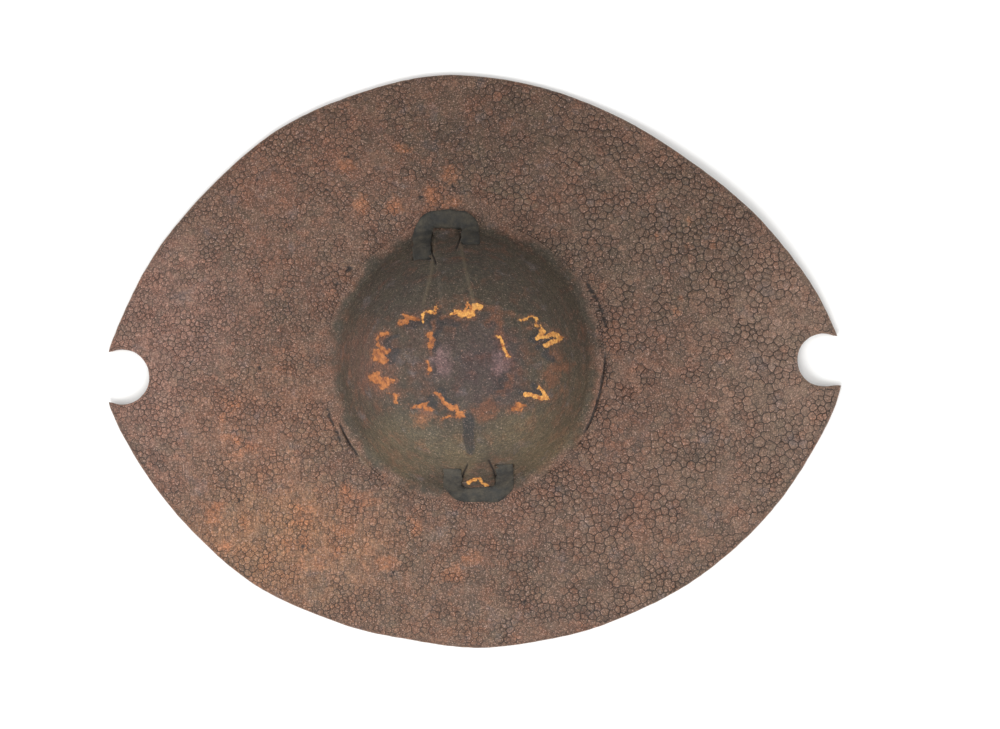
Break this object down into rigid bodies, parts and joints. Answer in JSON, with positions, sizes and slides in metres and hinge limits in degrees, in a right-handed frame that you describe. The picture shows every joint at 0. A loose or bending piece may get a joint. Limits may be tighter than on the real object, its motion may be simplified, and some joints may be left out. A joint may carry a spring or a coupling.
{
  "type": "hide shield",
  "caption": "Lens-shaped hide shield with a tall domed boss, a round notch at each pointed end and a rawhide grip strap laced through the foot of the boss.",
  "frame": {"origin": "on the surface the shield lies on, under the middle of its outline", "axes": "+Z out of the front of the boss, +X along the lens from one notch to the other, +Y across it"},
  "size_m": [0.66, 0.516, 0.1269],
  "materials": {
    "hide": "old cracked brown hide with a dark worn boss, dull with a soft sheen on its high spots",
    "rawhide_strap": "dark grey-green dried rawhide, dull"
  },
  "bodies": {
    "root": {"shield_hide": "hide", "grip_strap": "rawhide_strap"}
  },
  "joints": []
}
